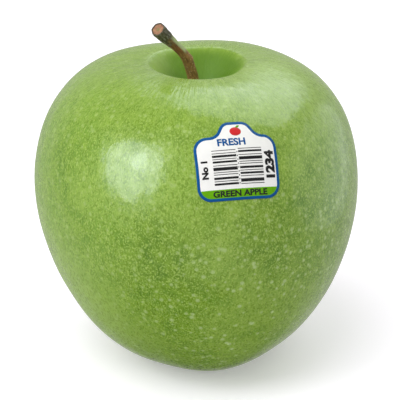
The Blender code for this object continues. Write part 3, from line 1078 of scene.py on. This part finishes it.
white_film = film_material("white_film", (0.82, 0.82, 0.80, 1), (0.76, 0.76, 0.75, 1))
black_ink = film_material("black_ink", (0.012, 0.012, 0.013, 1), (0.020, 0.020, 0.020, 1))
blue_ink = film_material("blue_ink", (0.001, 0.082, 0.270, 1), (0.001, 0.070, 0.235, 1))
red_ink = film_material("red_ink", (0.560, 0.020, 0.022, 1), (0.500, 0.016, 0.018, 1))
green_ink = film_material("green_ink", (0.125, 0.375, 0.001, 1), (0.105, 0.330, 0.001, 1))
INKS = [black_ink, blue_ink, red_ink, green_ink]
BLACK, BLUE, RED, GREEN = range(4)
print("Inks:", [ink.name for ink in INKS])


# %% Cut the film
def die_cut():
    """The label's plan in millimetres: white field 0, blue border 1, green band 2."""
    form = bmesh.new()
    half = LABEL_WIDTH / 2
    top = LABEL_HEIGHT / 2
    foot = TAB_FOOT_WIDTH / 2
    head = TAB_TOP_WIDTH / 2
    main = [(-half, -top), (half, -top), (half, top), (-half, top)]
    tab = [(foot, top), (head, top + TAB_HEIGHT), (-head, top + TAB_HEIGHT), (-foot, top)]
    tab = [(x + TAB_MIDDLE, y) for x, y in tab]
    corners = [form.verts.new((x, y, 0)) for x, y in main[:3] + tab + main[3:]]
    form.faces.new(corners)
    for group, reach in ((corners[3:7], TAB_CORNER), (corners[:3] + corners[7:], LABEL_CORNER)):
        bmesh.ops.bevel(
            form,
            geom=group,
            offset=reach,
            segments=8,
            profile=0.5,
            affect="VERTICES",
            material=-1,
        )
    field = form.faces[:]
    bmesh.ops.inset_region(
        form, faces=field, thickness=BORDER_WIDTH, use_boundary=True, use_even_offset=True
    )
    for face in form.faces:
        face.material_index = 0 if face in field else 1
    inner = [face for face in form.faces if face.material_index == 0]
    cut_across(form, inner, (0, BAND_TOP, 0), (0, 1, 0))
    for face in form.faces:
        if face.material_index == 0 and face.calc_center_median().y < BAND_TOP:
            face.material_index = 2
    slice_flat(form)
    return form


film_form = die_cut()
lay_on_skin(film_form, FILM_GAP)
film = finish_piece(
    set_down(film_form), "label_film", [white_film, blue_ink, green_ink], ["label"]
)
thicken(film, FILM_THICKNESS)


# %% Print on the film
def add_shape(form, flat, ink, scale, tilt, middle):
    """Sizes a flat bmesh, turns it, moves it, and adds it to the print in one ink."""
    bmesh.ops.scale(flat, verts=flat.verts, vec=scale)
    bmesh.ops.rotate(flat, verts=flat.verts, matrix=Matrix.Rotation(turn(tilt), 3, "Z"))
    bmesh.ops.translate(flat, verts=flat.verts, vec=Vector((*middle, 0)))
    flat.normal_update()
    for face in flat.faces:
        face.material_index = ink
    if sum(face.normal.z for face in flat.faces) < 0:
        bmesh.ops.reverse_faces(flat, faces=flat.faces[:])
    mesh = mesh_from(flat, "print")
    form.from_mesh(mesh)
    bpy.data.meshes.remove(mesh)


def bar(form, left, right, middle, thickness):
    flat = bmesh.new()
    bmesh.ops.create_grid(flat, x_segments=1, y_segments=1, size=0.5)
    scale = (right - left, thickness, 1)
    add_shape(form, flat, BLACK, scale, 0, ((left + right) / 2, middle))


def words(form, text, middle, width, height, ink, upward, weight):
    """Plain lettering fitted to a width and a height, set across or reading upward."""
    curve = bpy.data.curves.new("lettering", "FONT")
    curve.body = text
    curve.offset = weight
    curve.resolution_u = 4
    setting = add_object("lettering", curve)
    bpy.context.view_layer.update()
    graph = bpy.context.evaluated_depsgraph_get()
    mesh = bpy.data.meshes.new_from_object(setting.evaluated_get(graph))
    bpy.data.objects.remove(setting)
    bpy.data.curves.remove(curve)
    flat = bmesh.new()
    flat.from_mesh(mesh)
    bpy.data.meshes.remove(mesh)
    bmesh.ops.remove_doubles(flat, verts=flat.verts, dist=0.0001)
    low = [min(vertex.co[axis] for vertex in flat.verts) for axis in (0, 1)]
    high = [max(vertex.co[axis] for vertex in flat.verts) for axis in (0, 1)]
    centre = Vector(((low[0] + high[0]) / 2, (low[1] + high[1]) / 2, 0))
    bmesh.ops.translate(flat, verts=flat.verts, vec=-centre)
    scale = (width / (high[0] - low[0]), height / (high[1] - low[1]), 1)
    add_shape(form, flat, ink, scale, 90 if upward else 0, middle)


def blob(form, middle, width, height, ink, tilt=0, point=0.0):
    """A round or leaf-shaped patch of ink; point pinches its two ends."""
    flat = bmesh.new()
    bmesh.ops.create_circle(flat, cap_ends=True, segments=32, radius=0.5)
    for vertex in flat.verts:
        vertex.co.y *= 1 - point * abs(2 * vertex.co.x) ** 1.5
    add_shape(form, flat, ink, (width, height, 1), tilt, middle)


# %% Set the print
BAR_WIDTHS = (0.16, 0.16, 0.52, 0.16, 0.46, 0.16, 0.74)
BAR_SPACE = 0.34
WORDS = (
    # words, middle, width, height, ink, upward, weight
    ("GREEN APPLE", (0.1, -5.85), 12.8, 1.42, BLACK, False, 0.034),
    ("1234", (7.65, 0.4), 6.4, 2.3, BLACK, True, 0.06),
    ("No 1", (-7.75, -0.2), 4.2, 1.5, BLACK, True, 0.055),
    ("FRESH", (-0.9, 6.0), 6.6, 1.75, BLUE, False, 0.035),
)


def bars(form, left, right, low, high, first):
    """A stack of plain bars in a repeating rhythm. It holds no code."""
    at = high
    number = first
    while at - BAR_WIDTHS[number % len(BAR_WIDTHS)] > low:
        thickness = BAR_WIDTHS[number % len(BAR_WIDTHS)]
        bar(form, left, right, at - thickness / 2, thickness)
        at -= thickness + BAR_SPACE * (1 + 0.5 * ((number * 3) % 4 == 0))
        number += 1


print_form = bmesh.new()
bars(print_form, -5.85, -0.25, -4.1, 4.2, 0)
bars(print_form, 0.30, 5.95, -4.2, 4.4, 3)
for mark in range(9):
    bar(print_form, -0.09, 0.12, 3.6 - 0.9 * mark, 0.28)
for words_row in WORDS:
    words(print_form, *words_row)
blob(print_form, (0.45, 8.45), 2.7, 2.05, RED)
blob(print_form, (1.15, 9.65), 1.3, 0.5, GREEN, tilt=24, point=0.85)
slice_flat(print_form)
lay_on_skin(print_form, PRINT_GAP)
label_print = finish_piece(set_down(print_form), "label_print", INKS, ["label"])
thicken(label_print, INK_THICKNESS)

# %% [markdown]
# ## The dried calyx
#
# Underneath, the flower's remains stay on the fruit: five sepals, dried to brown leaflets that
# curl out of the eye, and a tuft of dead stamens in the tube. Nobody sees them while the apple
# stands, but the part is seen from all sides. A leaflet is a fine grid bent along its growth and
# given thickness; a stamen is a cone with a small bead on its end.

# %% Dry materials
DRY_BROWN = (0.150, 0.095, 0.050, 1)
DRY_DARK = (0.060, 0.040, 0.024, 1)
DRY_PALE = (0.320, 0.260, 0.150, 1)
THREAD_BROWN = (0.085, 0.052, 0.030, 1)
THREAD_DARK = (0.030, 0.020, 0.014, 1)


def dry_material(name, dark, brown, pale):
    """Dead plant tissue: fibres along the growth, pale patches, and a dull, wrinkled face."""
    material, tree, shader = new_material(name)
    grain = attribute(tree, "grain")
    fibres = effect(tree, streaks, "Value", grain, Scale=2400.0, Stretch=6.0, Contrast=3.0)
    patches = effect(tree, mottle, "Value", grain, Scale=900.0, Detail=3.0, Contrast=3.0)
    specks = effect(tree, flecks, "Mask", grain, Scale=2000.0, Size=0.25, Softness=0.2, Share=0.4)
    colour = tint(tree, fibres, dark, brown)
    colour = tint(tree, times(tree, patches, 0.55), colour, pale)
    colour = tint(tree, times(tree, specks, 0.5), colour, dark)
    dull_surface(tree, shader, colour, patches, (0.75, 0.92), fibres, 0.06 * MM)
    return material


dry_leaf = dry_material("dry_leaf", DRY_DARK, DRY_BROWN, DRY_PALE)
dry_thread = dry_material("dry_thread", THREAD_DARK, THREAD_BROWN, DRY_BROWN)
print("Dry materials:", dry_leaf.name, "and", dry_thread.name)

# %% Sepals
SEPAL_COUNT = 5
SEPAL_LENGTH = 5.8 * MM
SEPAL_THICKNESS = 0.28 * MM
SEPAL_ROOT_ANGLE = turn(40)
SEPAL_TIP_ANGLE = turn(150)
SEPAL_TIP_SHARE = 0.15
SEAT_CLEARANCE = 0.3 * MM
SEPAL_WAIST_RADIUS = 1.8 * MM
SEPAL_WAIST_WIDTH = 1.816 * MM
SOLID_SEPAL_THICKNESS = 0.4 * MM
KEEL_HEIGHT = 0.16 * MM
CURL_HEIGHT = 0.12 * MM


def sepal_place(along, across, wave):
    """A point on a leaflet: in from the eye's rim to its waist, and out again to its tip."""
    sweep = SEPAL_TIP_ANGLE - SEPAL_ROOT_ANGLE
    angle = SEPAL_ROOT_ANGLE + along * sweep
    root_radius = EYE_RADIUS - SEAT_CLEARANCE - SOLID_SEPAL_THICKNESS
    root_height = EYE_DEPTH - SEAT_CLEARANCE - SOLID_SEPAL_THICKNESS
    root_sine = math.sin(SEPAL_ROOT_ANGLE)
    lean_in = (math.sin(angle) - root_sine) / (1 - root_sine)
    radius = root_radius - (root_radius - SEPAL_WAIST_RADIUS) * lean_in
    fall = SEPAL_LENGTH * (math.cos(SEPAL_ROOT_ANGLE) - math.cos(angle)) / sweep
    waist = (math.pi / 2 - SEPAL_ROOT_ANGLE) / sweep
    taper = SEPAL_TIP_SHARE + (1 - SEPAL_TIP_SHARE) * math.sqrt(1 - along)
    waist_taper = SEPAL_TIP_SHARE + (1 - SEPAL_TIP_SHARE) * math.sqrt(1 - waist)
    width = SEPAL_WAIST_WIDTH * taper / waist_taper
    keel = KEEL_HEIGHT * (1 - 4 * across * across) * smooth_step(along / 0.4)
    curl = CURL_HEIGHT * math.sin(9 * along + wave) * abs(2 * across) * smooth_step(along / 0.5)
    return Vector((radius - keel + curl, across * width, root_height - fall))


def sepal(number):
    form = bmesh.new()
    grain_layer = form.verts.layers.float_vector.new("grain")
    bmesh.ops.create_grid(form, x_segments=22, y_segments=8, size=0.5)
    azimuth = RIB_AZIMUTH + math.tau * (number + 0.5) / SEPAL_COUNT
    facing = Matrix.Rotation(azimuth, 3, "Z")
    for vertex in form.verts:
        along = vertex.co.x + 0.5
        across = vertex.co.y
        vertex[grain_layer] = (across * 2 * MM, number * 0.01, along * SEPAL_LENGTH)
        vertex.co = grow(facing @ sepal_place(along, across, 1.7 * number))
    bmesh.ops.recalc_face_normals(form, faces=form.faces)
    return form


for number in range(SEPAL_COUNT):
    name = f"dry_sepal_{number + 1}"
    leaflet = finish_piece(
        set_down(sepal(number)), name, [dry_leaf], [f"sepal_{number + 1}"]
    )
    blade = leaflet.modifiers.new("thickness", "SOLIDIFY")
    blade.thickness = SEPAL_THICKNESS
    blade.offset = 0.0

# %% Stamens
STAMEN_COUNT = 14
STAMEN_LENGTH = 3.2 * MM
STAMEN_FOOT_RADIUS = 0.16 * MM
STAMEN_TIP_RADIUS = 0.07 * MM
BEAD_RADIUS = 0.19 * MM
PLUG_RADIUS = 1.6 * MM
GOLDEN_TURN = turn(137.5)


def stamen_tuft():
    form = bmesh.new()
    grain_layer = form.verts.layers.float_vector.new("grain")
    plug = bmesh.ops.create_icosphere(form, subdivisions=3, radius=PLUG_RADIUS)["verts"]
    top = EYE_DEPTH + PLUG_RADIUS
    bmesh.ops.translate(form, verts=plug, vec=(0, 0, top))
    for number in range(STAMEN_COUNT):
        azimuth = number * GOLDEN_TURN
        share = math.sqrt((number + 0.5) / STAMEN_COUNT)
        length = STAMEN_LENGTH * (0.86 + 0.14 * math.cos(2.4 * number))
        root = around(azimuth) * share * PLUG_RADIUS * 0.72
        root.z = top - math.sqrt(PLUG_RADIUS**2 - root.length_squared) * 0.92
        lean = Matrix.Rotation(turn(180 - 7 * share), 4, (-math.sin(azimuth), math.cos(azimuth), 0))
        seat = Matrix.Translation(root) @ lean @ Matrix.Translation((0, 0, length / 2))
        bmesh.ops.create_cone(
            form,
            cap_ends=True,
            segments=8,
            radius1=STAMEN_FOOT_RADIUS,
            radius2=STAMEN_TIP_RADIUS,
            depth=length,
            matrix=seat,
        )
        bead = seat @ Matrix.Translation((0, 0, length / 2)) @ Matrix.Diagonal((1, 0.7, 1.5, 1))
        bmesh.ops.create_icosphere(form, subdivisions=2, radius=BEAD_RADIUS, matrix=bead)
    for vertex in form.verts:
        vertex[grain_layer] = vertex.co
        vertex.co = grow(vertex.co)
    return form


finish_piece(
    set_down(stamen_tuft()), "stamen_tuft", [dry_thread], ["stamens"]
)
